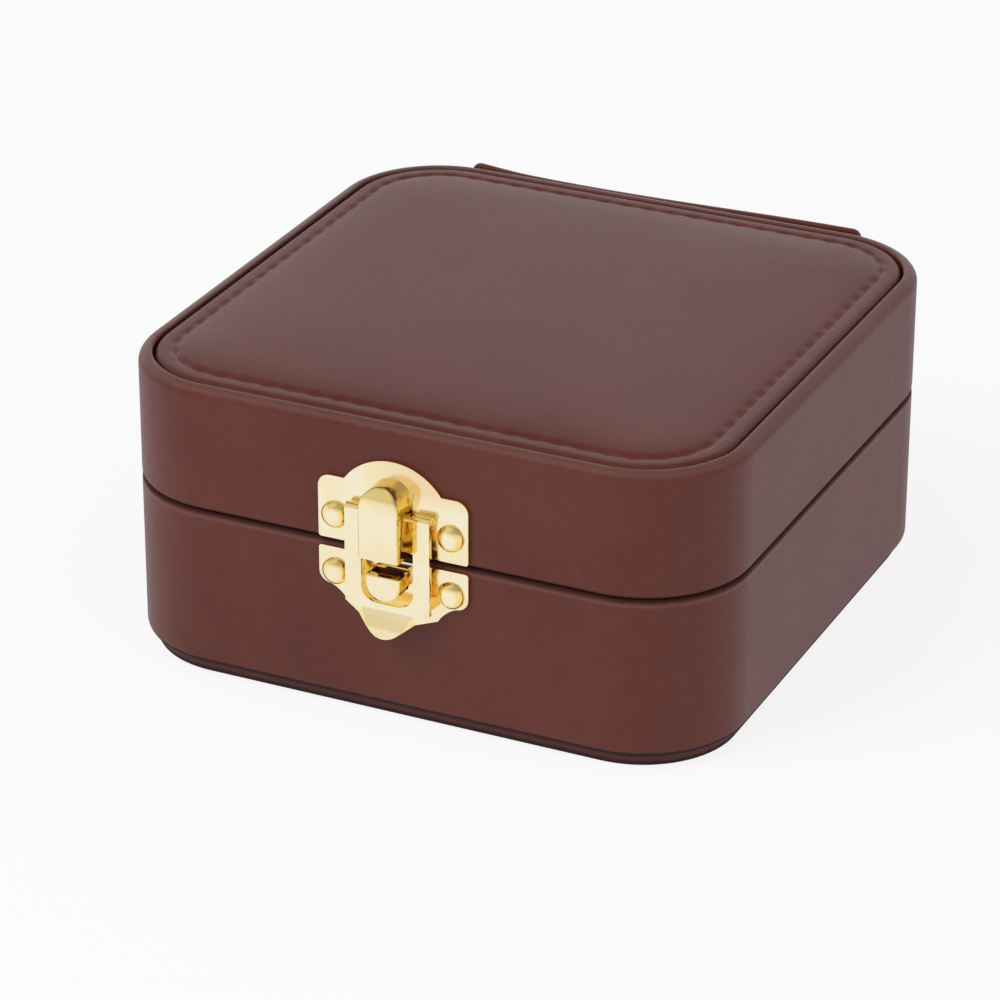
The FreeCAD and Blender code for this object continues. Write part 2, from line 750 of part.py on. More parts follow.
def hinge_pin():
    pin = doc.addObject("Part::Cylinder", "hasp_hinge_pin")
    pin.Label = "hasp_hinge_pin"
    half = size["hasp_half_width"] - size["hinge_pin_inset"]
    bind(pin, "Radius", size["hinge_pin_radius"])
    bind(pin, "Height", half * 2)
    pin.Placement = Placement(Vector(-half.value, PIN_Y.value, PIN_Z.value), Rotation(Vector(0, 1, 0), 90))
    for axis, length in zip("xyz", (-half, PIN_Y, PIN_Z)):
        bind(pin, f"Placement.Base.{axis}", length)
    return settle(pin)


def hasp():
    """Two legs with eyes round the pin, joined below by a bridge that flares into a finger lip."""
    body = new_body("hasp", y=PIN_Y, z=PIN_Z)
    half, sheet = size["hasp_half_width"], size["hasp_thickness"]
    front, back = -EYE_RADIUS, sheet - EYE_RADIUS
    straight, end, flare = -size["hasp_straight"], -size["hasp_length"], size["hasp_flare"]
    bend = arc_radius(straight - end, flare)

    eye = new_sketch(body, "hasp_eye", "YZ_Plane")
    draw_circle(eye, 0, 0, EYE_RADIUS)
    pad(body, eye, half * 2, midplane=True)
    side = new_sketch(body, "hasp_side", "YZ_Plane")
    draw_outline(side, [
        (front, straight),
        (front - flare, end, bend, -1),
        (back - flare, end),
        (back, straight, bend, 1),
        (back, 0),
        (front, 0),
    ])
    pad(body, side, half * 2, midplane=True)

    through = (EYE_RADIUS + flare + CUT_MARGIN) * 2
    tip, tip_z = size["hasp_tip_half_width"], end + size["hasp_tip_rise"]
    shoulder = -size["hasp_shoulder_length"]
    taper = new_sketch(body, "hasp_taper", "XZ_Plane")
    draw_outline(taper, [
        (-half - CUT_MARGIN, shoulder),
        (-half - CUT_MARGIN, end - CUT_MARGIN),
        (half + CUT_MARGIN, end - CUT_MARGIN),
        (half + CUT_MARGIN, shoulder),
        (half, shoulder),
        (tip, tip_z),
        (-tip, tip_z, arc_radius(tip, size["hasp_tip_rise"]), -1),
        (-half, shoulder),
    ])
    pocket(body, taper, through, midplane=True)

    window, low, corner = size["hasp_window"], -size["hasp_window_length"], size["hasp_window_round"]
    opening = new_sketch(body, "hasp_opening", "XZ_Plane")
    draw_outline(opening, [
        (window - corner, low),
        (window, low + corner, corner, 1),
        (window, EYE_RADIUS + CUT_MARGIN),
        (-window, EYE_RADIUS + CUT_MARGIN),
        (-window, low + corner),
        (corner - window, low, corner, 1),
    ])
    pocket(body, opening, through, midplane=True)

    hole = new_sketch(body, "hasp_pin_hole", "YZ_Plane")
    draw_circle(hole, 0, 0, EYE_HOLE)
    pocket(body, hole, half * 2 + CUT_MARGIN, midplane=True)
    return body


def latch():
    upper_pins = fixing_pins("upper_fixing_pins", UPPER_PIN_Z)
    lower_pins = fixing_pins("lower_fixing_pins", LOWER_PIN_Z)
    return [upper_plate(), upper_pins, lower_plate(), lower_pins, hinge_pin(), hasp()]


# ---- check and write -----------------------------------------------------------------------------

def check(pieces):
    for item in doc.Objects:
        if "Invalid" in item.State or "Error" in item.State:
            raise RuntimeError(f"{item.Label} failed: {item.State}")
    for piece in pieces:
        if piece.Shape.isNull() or not piece.Shape.isValid():
            raise RuntimeError(f"{piece.Label} has no valid shape")


def write(pieces):
    os.makedirs("parts", exist_ok=True)
    for piece in pieces:
        piece.Shape.exportStep(f"parts/{piece.Label}.step")


pieces = base_wall() + base_boards() + base_collar() + dividers() + cufflink_rolls()
pieces += lid_wall() + lid_panel() + lid_inside() + hinge_strips() + latch()
doc.recompute()
check(pieces)
write(pieces)
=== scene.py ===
"""A square leatherette cufflink box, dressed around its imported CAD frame.

The frame's rigid parts keep their shape and get their finishes here.  The padded panel, the hinge
strip, the velvet pads and rolls and the stamped latch are modelled here and stand for their nodes.
Everything is in metres, with the origin under the middle of the box and the latch towards -y.
"""
import math
import bpy
from mathutils import Euler, Matrix, Vector


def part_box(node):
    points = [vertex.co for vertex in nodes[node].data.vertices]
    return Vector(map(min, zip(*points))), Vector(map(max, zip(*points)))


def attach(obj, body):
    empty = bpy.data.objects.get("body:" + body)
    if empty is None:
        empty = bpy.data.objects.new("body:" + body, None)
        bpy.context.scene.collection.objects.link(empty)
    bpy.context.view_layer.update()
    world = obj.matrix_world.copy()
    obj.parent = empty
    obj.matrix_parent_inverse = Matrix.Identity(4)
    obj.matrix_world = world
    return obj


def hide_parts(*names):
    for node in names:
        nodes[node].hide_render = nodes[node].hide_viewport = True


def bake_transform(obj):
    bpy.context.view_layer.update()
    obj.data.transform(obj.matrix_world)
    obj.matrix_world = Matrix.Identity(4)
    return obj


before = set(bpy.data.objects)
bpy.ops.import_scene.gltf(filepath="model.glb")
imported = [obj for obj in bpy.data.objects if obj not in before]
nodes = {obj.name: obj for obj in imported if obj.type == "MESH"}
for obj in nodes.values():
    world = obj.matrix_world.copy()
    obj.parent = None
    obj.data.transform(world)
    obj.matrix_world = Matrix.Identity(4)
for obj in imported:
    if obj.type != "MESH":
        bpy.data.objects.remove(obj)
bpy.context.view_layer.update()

MM = 0.001
HALF = 50 * MM
CORNER = 17 * MM
FOOT_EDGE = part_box("base_wrap")[0].z
BASE_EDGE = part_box("base_wrap")[1].z
LID_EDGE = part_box("lid_wrap")[0].z
RIM_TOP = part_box("lid_wrap")[1].z
CREASE = (BASE_EDGE + LID_EDGE) / 2
PANEL_BORDER = RIM_TOP - 0.1 * MM


# ---------------------------------------------------------------- shader maths


class Wire:
    """One value inside a finish, with Python's operators as Math nodes."""

    def __init__(self, finish, socket):
        self.finish = finish
        self.socket = socket

    def maths(self, operation, *values):
        settings = {"operation": operation}
        return self.finish.node("ShaderNodeMath", settings, dict(enumerate(values)))

    def __add__(self, other):
        return self.maths("ADD", self, other)

    def __sub__(self, other):
        return self.maths("SUBTRACT", self, other)

    def __rsub__(self, other):
        return self.maths("SUBTRACT", other, self)

    def __mul__(self, other):
        return self.maths("MULTIPLY", self, other)

    def __abs__(self):
        return self.maths("ABSOLUTE", self)

    __radd__ = __add__
    __rmul__ = __mul__

    def most(self, other):
        return self.maths("MAXIMUM", self, other)

    def step(self, low, high):
        """0 up to low, 1 from high, and smooth between them."""
        settings = {"interpolation_type": "SMOOTHSTEP"}
        return self.finish.node("ShaderNodeMapRange", settings, {0: self, 1: low, 2: high})

    def beside(self, out):
        """Another output of the node that this value comes from."""
        return Wire(self.finish, self.socket.node.outputs[out])


class Finish:
    """A material that is being made: its nodes, and the shader at their end."""

    def __init__(self, name, **plain):
        self.material = bpy.data.materials.new(name)
        self.material.use_nodes = True
        self.tree = self.material.node_tree
        self.shader = self.tree.nodes["Principled BSDF"]
        for socket, value in plain.items():
            self.shader.inputs[socket.replace("_", " ")].default_value = value
        self.place = self.node("ShaderNodeTexCoord", out="Object")

    def node(self, kind, settings=None, sockets=None, out=0):
        """Adds one node: its settings first, then its sockets' values or links."""
        new = self.tree.nodes.new(kind)
        for name, value in (settings or {}).items():
            setattr(new, name, value)
        for name, value in (sockets or {}).items():
            if isinstance(value, Wire):
                self.tree.links.new(value.socket, new.inputs[name])
            else:
                new.inputs[name].default_value = value
        return Wire(self, new.outputs[out])

    def stretched(self, x, y, z):
        """The place on the piece, with each direction scaled."""
        return self.node("ShaderNodeMapping", None, {"Vector": self.place, "Scale": (x, y, z)})

    def noise(self, size, detail=3.0, roughness=0.5, place=None):
        """Cloudy values around 0.5, in blobs of this size."""
        return self.node(
            "ShaderNodeTexNoise",
            None,
            {
                "Vector": place or self.place,
                "Scale": 1 / size,
                "Detail": detail,
                "Roughness": roughness,
            },
            "Fac",
        )

    def cells(self, size):
        """The distance to the middle of the nearest of many small cells."""
        return self.node(
            "ShaderNodeTexVoronoi",
            {"feature": "SMOOTH_F1"},
            {"Vector": self.place, "Scale": 1 / size, "Smoothness": 0.35},
            "Distance",
        )

    def axis(self, which, place=None):
        """One coordinate of the place on the piece, or of another vector."""
        return self.node("ShaderNodeSeparateXYZ", None, {0: place or self.place}, which)

    def mix(self, share, first, second):
        """A colour between two others."""
        return self.node(
            "ShaderNodeMix",
            {"data_type": "RGBA", "clamp_factor": True},
            {0: share, 6: first, 7: second},
            2,
        )

    def relief(self, height, depth, strength=1.0):
        """Presses a pattern into the surface, depth metres from low to high."""
        bump = self.node(
            "ShaderNodeBump", None, {"Strength": strength, "Distance": depth, "Height": height}
        )
        self.feed("Normal", bump)

    def feed(self, socket, value):
        self.tree.links.new(value.socket, self.shader.inputs[socket])


# ---------------------------------------------------------------- colours

DEEP_BROWN = (0.094, 0.0187, 0.0113, 1)
WORN_BROWN = (0.1175, 0.0262, 0.0166, 1)
# a painted highlight on the leather's rounded edges: the rim's top, and just under the seam
HIGHLIGHT_BROWN = (0.150, 0.066, 0.056, 1)
# painted shade in the seam and in the panel's groove; it also makes the bottom cover darker all
# over
DARK_BROWN = (0.040, 0.010, 0.007, 1)
# painted shade where the box meets the floor
SHADE_BLACK = (0.013, 0.008, 0.007, 1)
DARK_THREAD = (0.055, 0.016, 0.011, 1)
PALE_THREAD = (0.11, 0.034, 0.024, 1)
SHADED_CREAM = (0.60, 0.515, 0.395, 1)
PALE_CREAM = (0.71, 0.63, 0.50, 1)
DARK_PULP = (0.27, 0.25, 0.22, 1)
PALE_PULP = (0.40, 0.37, 0.33, 1)
PULP_FLECK = (0.12, 0.11, 0.10, 1)
FOAM_HOLLOW = (0.44, 0.40, 0.30, 1)
FOAM_WALL = (0.66, 0.62, 0.50, 1)
# pale and bright golds on faces turned to the front, deep and warm golds on the others: a painted
# reflection
PALE_GOLD = (0.98, 0.82, 0.50, 1)
BRIGHT_GOLD = (1.0, 0.90, 0.67, 1)
# painted shade on the upper plate's domed top
SHADED_GOLD = (0.93, 0.70, 0.37, 1)
DEEP_GOLD = (1.0, 0.73, 0.23, 1)
WARM_GOLD = (1.0, 0.79, 0.33, 1)
# a painted reflection of the dark leather on faces turned sideways, darker in patches
SIDE_GOLD = (0.92, 0.63, 0.13, 1)
LEATHER_REFLECTION_BROWN = (0.34, 0.15, 0.03, 1)


# ---------------------------------------------------------------- finishes

PORE = 0.18 * MM
PEBBLE = 0.55 * MM
MOTTLE = 2.4 * MM
CLOUD = 22 * MM
TWIST = 0.12 * MM
FIBRE = 0.22 * MM
TUFT = 1.1 * MM
NAP = 17 * MM
FLECK = 0.35 * MM
PULP = 0.9 * MM
BUBBLE = 0.5 * MM
SCRATCH = 0.25 * MM
# size of the patches in the painted dark reflection on the gold's sideways faces
DARK_PATCH = 1.3 * MM
RUB = 1.6 * MM
WAVE = 3.2 * MM
TARNISH = 4.5 * MM
# painted shade on the upper plate's domed upper right, by height and across
PLATE_SHADE_UP = (36.5 * MM, 40.5 * MM)  # where the painted shade on the plate's domed top begins
PLATE_SHADE_ACROSS = (-6 * MM, 2.5 * MM)
BAND_FADE = 0.3 * MM
BAND_WANDER = 0.3 * MM
BEYOND = 10 * MM  # past either end of a piece


def band(low, high, colour, share, dulling=0):
    """A range of heights where the leather's colour is changed, mostly for painted highlight and
    painted shade, and how much of its gloss that takes.
    """
    return low, high, colour, share, dulling


def leatherette(name, *bands):
    """Brown coated leathercloth: a fine pebble grain, a soft gloss and a slightly worn mottle,
    with bands of painted highlight and painted shade by height.
    """
    finish = Finish(name, Specular_IOR_Level=0.3)
    pebbles = finish.cells(PEBBLE)
    pores = finish.noise(PORE, 2.0)
    clouds = finish.noise(CLOUD, 2.0)
    mottle = finish.noise(MOTTLE, 4.0, 0.6)
    brown = finish.mix((clouds * 0.6 + mottle * 0.4).step(0.30, 0.72), DEEP_BROWN, WORN_BROWN)
    gloss = 0.36 + mottle * 0.10 + pebbles * 0.06
    for low, high, colour, share, dulling in bands:
        height = finish.axis(2) + (mottle - 0.5) * BAND_WANDER
        above = height.step(low - BAND_FADE, low + BAND_FADE)
        below = 1 - height.step(high - BAND_FADE, high + BAND_FADE)
        inside = above * below * share
        brown = finish.mix(inside, brown, colour)
        gloss = gloss + inside * dulling
    finish.feed("Base Color", brown)
    finish.feed("Roughness", gloss)
    finish.relief(pebbles * 0.8 + pores * 0.35, 0.05 * MM, 0.35)
    return finish.material


def thread(name):
    """Brown sewing thread with a twist."""
    finish = Finish(name, Specular_IOR_Level=0.35)
    twist = finish.noise(TWIST, 1.0)
    finish.feed("Base Color", finish.mix(twist.step(0.35, 0.65), DARK_THREAD, PALE_THREAD))
    finish.feed("Roughness", 0.6 + twist * 0.2)
    finish.relief(twist, 0.05 * MM, 0.6)
    return finish.material


def velvet(name):
    """Cream flocked velvet: short fibres, and patches where the nap leans another way."""
    finish = Finish(name, Sheen_Weight=0.45, Sheen_Roughness=0.45, Specular_IOR_Level=0.15)
    fibres = finish.noise(FIBRE, 2.0, 0.6)
    tufts = finish.noise(TUFT, 3.0, 0.6)
    nap = finish.noise(NAP, 2.0)
    lean = (nap * 0.35 + tufts * 0.35 + fibres * 0.3).step(0.34, 0.66)
    finish.feed("Base Color", finish.mix(lean, SHADED_CREAM, PALE_CREAM))
    finish.feed("Roughness", 0.86 + fibres * 0.12)
    finish.relief(fibres * 0.6 + tufts * 0.4, 0.12 * MM, 0.5)
    return finish.material


def greyboard(name):
    """Pressed grey board with darker flecks of pulp."""
    finish = Finish(name, Specular_IOR_Level=0.2)
    pulp = finish.noise(PULP, 4.0, 0.65)
    flecks = finish.noise(FLECK, 1.0).step(0.66, 0.72)
    grey = finish.mix(pulp, DARK_PULP, PALE_PULP)
    finish.feed("Base Color", finish.mix(flecks, grey, PULP_FLECK))
    finish.feed("Roughness", 0.82 + pulp * 0.12)
    finish.relief(pulp, 0.08 * MM, 0.5)
    return finish.material


def foam(name):
    """Open-celled padding foam."""
    finish = Finish(name, Specular_IOR_Level=0.2)
    bubbles = finish.cells(BUBBLE)
    finish.feed("Base Color", finish.mix(bubbles.step(0.1, 0.6), FOAM_HOLLOW, FOAM_WALL))
    finish.feed("Roughness", 0.85 + bubbles * 0.1)
    finish.relief(bubbles, 0.15 * MM, 0.6)
    return finish.material


def gold(name):
    """Bright gold plate with painted reflection: pale on faces turned to the front, deeper gold on
    faces turned other ways, darker gold with dark brown patches on faces turned sideways; painted
    shade on the plate's domed upper right.
    """
    finish = Finish(name, Metallic=1.0)
    waves = finish.noise(WAVE, 1.0)
    tarnish = finish.noise(TARNISH, 3.0, 0.55).step(0.42, 0.62)
    rubbed = finish.noise(RUB, 4.0, 0.6) * 0.5 + tarnish * 0.5
    scratches = finish.noise(SCRATCH, 2.0, 0.5, finish.stretched(1, 1, 0.12))
    # patches for the painted dark reflection on the sideways faces
    dark_patches = finish.noise(DARK_PATCH, 2.0).step(0.54, 0.66)
    facing = finish.node("ShaderNodeTexCoord", out="Normal")
    # painted reflection: pale on faces turned to the front, deeper gold on the others
    forward = (0 - finish.axis(1, facing)).step(0.84, 0.985)
    # painted reflection of the dark leather on faces turned sideways
    sideways = abs(finish.axis(0, facing)).step(0.6, 0.95)
    # painted shade on the plate's domed upper right
    plate_shade = finish.axis(2).step(*PLATE_SHADE_UP) * finish.axis(0).step(*PLATE_SHADE_ACROSS)
    pale = finish.mix(rubbed, PALE_GOLD, BRIGHT_GOLD)
    pale = finish.mix(plate_shade * 0.75, pale, SHADED_GOLD)
    sides = finish.mix(dark_patches * 0.6, SIDE_GOLD, LEATHER_REFLECTION_BROWN)
    deep = finish.mix(sideways, finish.mix(rubbed, DEEP_GOLD, WARM_GOLD), sides)
    finish.feed("Base Color", finish.mix(forward, deep, pale))
    finish.feed("Roughness", 0.10 + rubbed * 0.06 + scratches.step(0.55, 0.8) * 0.06)
    finish.relief(waves * 0.9 + scratches * 0.04, 0.10 * MM, 0.5)
    return finish.material


LEATHER = leatherette("brown_leatherette_finish")
LID_LEATHER = leatherette(
    "rim_highlight_and_seam_shade_finish",
    # painted highlight along the rim's top
    band(RIM_TOP - 0.7 * MM, RIM_TOP + BEYOND, HIGHLIGHT_BROWN, share=0.6),
    # painted shade along the lid's lower edge, in the seam
    band(LID_EDGE - BEYOND, LID_EDGE + 0.5 * MM, DARK_BROWN, share=0.9, dulling=0.3),
)
WALL_LEATHER = leatherette(
    "wall_highlight_and_shade_finish",
    # painted highlight just under the seam
    band(BASE_EDGE - 1.1 * MM, BASE_EDGE - 0.7 * MM, HIGHLIGHT_BROWN, share=0.6),
    # painted shade on the base's top edge, in the seam
    band(BASE_EDGE - 0.45 * MM, BASE_EDGE + BEYOND, DARK_BROWN, share=1, dulling=0.4),
    # painted shade at the foot, where the box meets the floor
    band(FOOT_EDGE - BEYOND, FOOT_EDGE + 1.25 * MM, SHADE_BLACK, share=0.92, dulling=0.55),
)
BOTTOM_LEATHER = leatherette(
    "darkened_base_and_shade_finish",
    # the bottom cover darker all over
    band(-BEYOND, BEYOND, DARK_BROWN, share=0.3, dulling=0.2),
    # painted shade on its lowest part, where the box meets the floor
    band(-BEYOND, FOOT_EDGE / 2, SHADE_BLACK, share=0.92, dulling=0.35),
)
PANEL_LEATHER = leatherette(
    "panel_leather_finish",
    # painted shade on the panel's side, down in the groove along the rim
    band(PANEL_BORDER - BEYOND, PANEL_BORDER - 0.28 * MM, DARK_BROWN, share=0.6, dulling=0.2),
)
THREAD = thread("brown_thread_finish")
VELVET = velvet("cream_velvet_finish")
GOLD = gold("gold_plate_finish")

FINISHES = {
    "brown_leatherette": LEATHER,
    "greyboard": greyboard("greyboard_finish"),
    "velvet": VELVET,
    "foam": foam("padding_foam_finish"),
    "gold_plate": GOLD,
}
OWN_FINISHES = {
    "lid_wrap": LID_LEATHER,
    "base_wrap": WALL_LEATHER,
    "bottom_cover": BOTTOM_LEATHER,
    "lid_frame": LEATHER,
}
for name, part in nodes.items():
    for slot in part.material_slots:
        usual = FINISHES[slot.material.name.split(".")[0]]
        slot.material = OWN_FINISHES.get(name, usual)


# ---------------------------------------------------------------- bench


def begin(add, name, **where):
    """Adds a primitive on its own and names it."""
    bpy.ops.object.select_all(action="DESELECT")
    add(**where)
    piece = named(bpy.context.object, name)
    bpy.ops.object.transform_apply(location=True, rotation=True, scale=True)
    return piece


def named(piece, name):
    piece.name = name
    piece.data.name = name
    return piece


def only(piece):
    bpy.ops.object.select_all(action="DESELECT")
    piece.select_set(True)
    bpy.context.view_layer.objects.active = piece


def twin(piece):
    """A second piece of the same shape."""
    only(piece)
    bpy.ops.object.duplicate()
    return bpy.context.object


def join(pieces):
    """Makes one piece of several, under the first one's name."""
    only(pieces[0])
    for piece in pieces:
        piece.select_set(True)
    bpy.ops.object.join()
    return pieces[0]


def select(piece, kind, wanted):
    """Selects the vertices, edges or faces whose test passes, and opens edit mode on them."""
    only(piece)
    bpy.ops.object.mode_set(mode="EDIT")
    bpy.ops.mesh.select_mode(type=kind)
    bpy.ops.mesh.select_all(action="DESELECT")
    bpy.ops.object.mode_set(mode="OBJECT")
    mesh = piece.data
    if kind == "VERT":
        for vertex in mesh.vertices:
            vertex.select = wanted(vertex.co)
    elif kind == "EDGE":
        for edge in mesh.edges:
            first, second = (mesh.vertices[i].co for i in edge.vertices)
            edge.select = wanted(first, second)
    else:
        for face in mesh.polygons:
            face.select = wanted(face.center, face.normal)
    bpy.ops.object.mode_set(mode="EDIT")


def select_whole(piece):
    select(piece, "VERT", lambda place: True)


def leave():
    bpy.ops.object.mode_set(mode="OBJECT")


def cut(piece, place, across):
    """Cuts right through the piece, and keeps both sides."""
    select_whole(piece)
    bpy.ops.mesh.bisect(plane_co=place, plane_no=across)
    leave()


def face_outwards(piece):
    select_whole(piece)
    bpy.ops.mesh.normals_make_consistent(inside=False)
    leave()


def modify(piece, kind, **settings):
    """Adds a modifier, sets it and applies it."""
    only(piece)
    modifier = piece.modifiers.new(kind.lower(), kind)
    for name, value in settings.items():
        setattr(modifier, name, value)
    bpy.ops.object.modifier_apply(modifier=modifier.name)


def reshape(piece, move):
    """Moves every point of the piece by one rule."""
    for vertex in piece.data.vertices:
        vertex.co = move(vertex.co)


def smooth(piece, angle):
    """Shades the piece smooth, except across edges that turn more than the angle."""
    only(piece)
    bpy.ops.object.shade_smooth_by_angle(angle=math.radians(angle))


def finished(piece, body, finish, slot, *replaced):
    piece.data.materials.clear()
    piece.data.materials.append(finish)
    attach(piece, body)
    if replaced:
        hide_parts(*replaced)
    return piece


CLOTH_SCALE = 10
CLOTH_FRAMES = 12
CLOTH_PRESSURE = 4.0
CLOTH_TENSION = 15
CLOTH_BENDING = 0.5


def soften(piece, held, rise):
    """Blows the cover up as cloth over its padding, with the held points fixed.

    The simulation runs on a copy ten times as large.  Its movement is brought back so that the
    point that moves most moves by the rise.
    """
    cloth = twin(piece)
    reshape(cloth, lambda place: place * CLOTH_SCALE)
    group = cloth.vertex_groups.new(name="held")
    group.add([v.index for v in piece.data.vertices if held(v.co)], 1.0, "REPLACE")
    modifier = cloth.modifiers.new("cover", "CLOTH")
    modifier.settings.vertex_group_mass = "held"
    modifier.settings.use_pressure = True
    modifier.settings.uniform_pressure_force = CLOTH_PRESSURE
    modifier.settings.tension_stiffness = CLOTH_TENSION
    modifier.settings.bending_stiffness = CLOTH_BENDING
    modifier.settings.effector_weights.gravity = 0
    modifier.collision_settings.use_collision = False
    modifier.point_cache.frame_start = 1
    modifier.point_cache.frame_end = CLOTH_FRAMES
    for number in range(1, CLOTH_FRAMES + 1):
        bpy.context.scene.frame_set(number)
    bpy.ops.object.modifier_apply(modifier=modifier.name)
    moved = [
        new.co / CLOTH_SCALE - old.co for new, old in zip(cloth.data.vertices, piece.data.vertices)
    ]
    share = rise / max(move.length for move in moved)
    for vertex, move in zip(piece.data.vertices, moved):
        vertex.co += move * share
    bpy.data.objects.remove(cloth)
    bpy.context.scene.frame_set(1)


# ---------------------------------------------------------------- rounded squares

EVEN_SHARE = 0.36  # how much of the rings' spacing is even
CROWDING = 3.2  # how sharply the rest of it tightens towards the edge
CORNER_FADE = 3.6  # how soon the inner rings lose their round corners
TINY = 0.01 * MM


def on_rounded_square(half, corner, side, along):
    """A point on the side of a rounded square, along from -1 to 1 between the corners' middles."""
    straight = half - corner
    length = straight + corner * math.pi / 4
    reach = abs(along) * length
    if reach <= straight:
        x, y = reach, half
    else:
        angle = (reach - straight) / corner
        x, y = straight + corner * math.sin(angle), straight + corner * math.cos(angle)
    point = Vector((math.copysign(x, along), y, 0))
    turned = Vector((point.y, -point.x, 0)), -point, Vector((-point.y, point.x, 0))
    return (point, *turned)[side]


def inset_of(place, half, corner):
    """How far a place lies inside the outline of a rounded square."""
    over_x = abs(place.x) - (half - corner)
    over_y = abs(place.y) - (half - corner)
    if over_x > 0 and over_y > 0:
        return corner - math.hypot(over_x, over_y)
    return -max(over_x, over_y) + corner


def along_of(place, half, corner):
    """How far round the outline of a rounded square a place lies, from the middle of its side."""
    straight = half - corner
    quarter = 2 * straight + corner * math.pi / 2
    x, y, side = place.x, place.y, 0
    while not (y >= abs(x) and y > 0):
        x, y, side = -y, x, side + 1
        if side > 3:
            return 0.0
    if abs(x) <= straight:
        reach = abs(x)
    else:
        reach = straight + corner * math.atan2(abs(x) - straight, max(y - straight, TINY))
    return side * quarter + math.copysign(reach, x)


def rounded_sheet(name, half, corner, rings, height):
    """A sheet whose rings of points crowd towards its edge, raised by a rule on the inset."""
    sheet = begin(
        bpy.ops.mesh.primitive_grid_add,
        name,
        x_subdivisions=2 * rings,
        y_subdivisions=2 * rings,
        size=2 * half,
    )

    def shaped(place):
        reach = max(abs(place.x), abs(place.y)) / half
        share = round((1 - reach) * rings) / rings
        inset = half * (EVEN_SHARE * share + (1 - EVEN_SHARE) * share**CROWDING)
        ring = half - inset
        point = Vector((0, 0, 0))
        if ring > TINY:
            if abs(place.y) >= abs(place.x):
                side, along = (0, place.x) if place.y > 0 else (2, -place.x)
            else:
                side, along = (1, -place.y) if place.x > 0 else (3, place.y)
            round_by = corner * (ring / half) ** CORNER_FADE
            point = on_rounded_square(ring, round_by, side, along / (reach * half))
        point.z = height(inset)
        return point

    reshape(sheet, shaped)
    return sheet


# ---------------------------------------------------------------- padded panel in the lid

PANEL_INSET = 2.55 * MM
PANEL_HALF = HALF - PANEL_INSET
PANEL_CORNER = CORNER - PANEL_INSET
PANEL_RINGS = 40
PANEL_SIDE = 2.0 * MM
PANEL_SIDE_ROWS = 2
COVER_THICK = 0.45 * MM
OUTER_EDGE = 0.04 * MM
EDGE_DROP = 0.75 * MM
EDGE_ROUND = 0.22 * MM
ROLL_RISE = 0.13 * MM
ROLL_WIDTH = 1.5 * MM
VALLEY_DEPTH = 0.30 * MM
VALLEY_WIDTH = 0.45 * MM
CROWN_RISE = 0.98 * MM
CROWN_ROUND = 3.2 * MM
CROWN_SLOPE = 11 * MM
SHOULDER_SHARE = 0.52
CROWN_SWELL = 0.28 * MM

STITCH_INSET = 3.2 * MM
STITCH_WISH = 3.9 * MM
STITCH_HALF = PANEL_HALF - STITCH_INSET
STITCH_CORNER = PANEL_CORNER - STITCH_INSET
STITCH_SIDE = 2 * (STITCH_HALF - STITCH_CORNER) + STITCH_CORNER * math.pi / 2
SIDE_STITCHES = round(STITCH_SIDE / STITCH_WISH)
STITCH_STEP = STITCH_SIDE / SIDE_STITCHES
PULL_WIDTH = 0.7 * MM
PULL_DEPTH = 0.08 * MM
PULL_ENDS = 3

THREAD_RADIUS = 0.2 * MM
THREAD_REACH = 0.40 * STITCH_STEP
THREAD_CUTS = (-0.32, -0.16, 0.0, 0.16, 0.32)
THREAD_TAPER = 0.45
THREAD_DIVE = 0.30 * MM
THREAD_SINK = 0.17 * MM
NUDGE = 0.0005


def panel_height(inset):
    """Rounded edge, rolled border, valley under the stitches, and the crown over the foam."""
    edge = -EDGE_DROP * math.exp(-inset / EDGE_ROUND)
    roll = ROLL_RISE * math.sin(math.pi / 2 * min(inset / ROLL_WIDTH, 1))
    past = (inset - STITCH_INSET) / VALLEY_WIDTH
    valley = -VALLEY_DEPTH * math.exp(-past * past)
    inside = max(inset - STITCH_INSET, 0)
    shoulder = SHOULDER_SHARE * (1 - math.exp(-inside / CROWN_ROUND))
    slope = (1 - SHOULDER_SHARE) * (1 - math.exp(-inside / CROWN_SLOPE))
    return PANEL_BORDER + edge + roll + valley + CROWN_RISE * (shoulder + slope)


def panel_inset(place):
    return inset_of(place, PANEL_HALF, PANEL_CORNER)


def pulled_by_stitches(place):
    """Each stitch's end draws the leather down, and it stands up a little between."""
    off = (panel_inset(place) - STITCH_INSET) / PULL_WIDTH
    on_the_side = place.z < PANEL_BORDER - 0.6 * MM
    if on_the_side or abs(off) > PULL_ENDS:
        return place
    line = along_of(place, STITCH_HALF, STITCH_CORNER)
    wave = math.cos(2 * math.pi * line / STITCH_STEP)
    return place + Vector((0, 0, -PULL_DEPTH * wave * math.exp(-off * off)))


def padded_panel():
    """The leather cover of the lid's panel, swollen by its foam inside the line of stitches."""
    panel = rounded_sheet("padded_panel", PANEL_HALF, PANEL_CORNER, PANEL_RINGS, panel_height)
    soften(panel, lambda place: panel_inset(place) < STITCH_INSET, CROWN_SWELL)
    modify(panel, "SUBSURF", levels=1, render_levels=1)
    select(panel, "VERT", lambda place: panel_inset(place) < OUTER_EDGE)
    bpy.ops.mesh.select_mode(type="EDGE")
    for _ in range(PANEL_SIDE_ROWS):
        down = (0, 0, -PANEL_SIDE / PANEL_SIDE_ROWS)
        bpy.ops.mesh.extrude_region_move(TRANSFORM_OT_translate={"value": down})
    leave()
    reshape(panel, pulled_by_stitches)
    modify(panel, "SOLIDIFY", thickness=COVER_THICK, offset=-1)
    smooth(panel, 60)
    finished(panel, "lid", PANEL_LEATHER, "brown_leatherette", "panel_cover")


